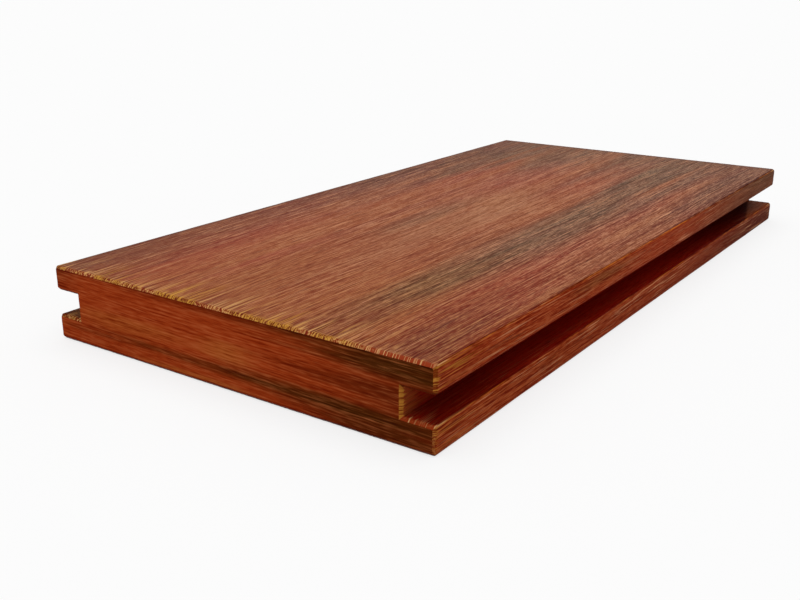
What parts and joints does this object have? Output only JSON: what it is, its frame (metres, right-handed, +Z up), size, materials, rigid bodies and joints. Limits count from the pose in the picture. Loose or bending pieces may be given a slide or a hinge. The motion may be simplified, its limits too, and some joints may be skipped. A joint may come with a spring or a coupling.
{
  "type": "grooved deck board",
  "caption": "Hardwood deck board milled from one piece, with a square clip groove along both long edges and eased corners.",
  "frame": {"origin": "middle of the underside, which rests on the joists", "axes": "+X along the board's length and grain, +Y across its width, +Z up through its thickness, towards the walking face"},
  "size_m": [0.294, 0.145, 0.0246],
  "materials": {
    "hardwood": "red-brown oiled hardwood, fine straight grain with darker streaks, satin"
  },
  "bodies": {
    "root": {"grooved_board": "hardwood"}
  },
  "joints": []
}
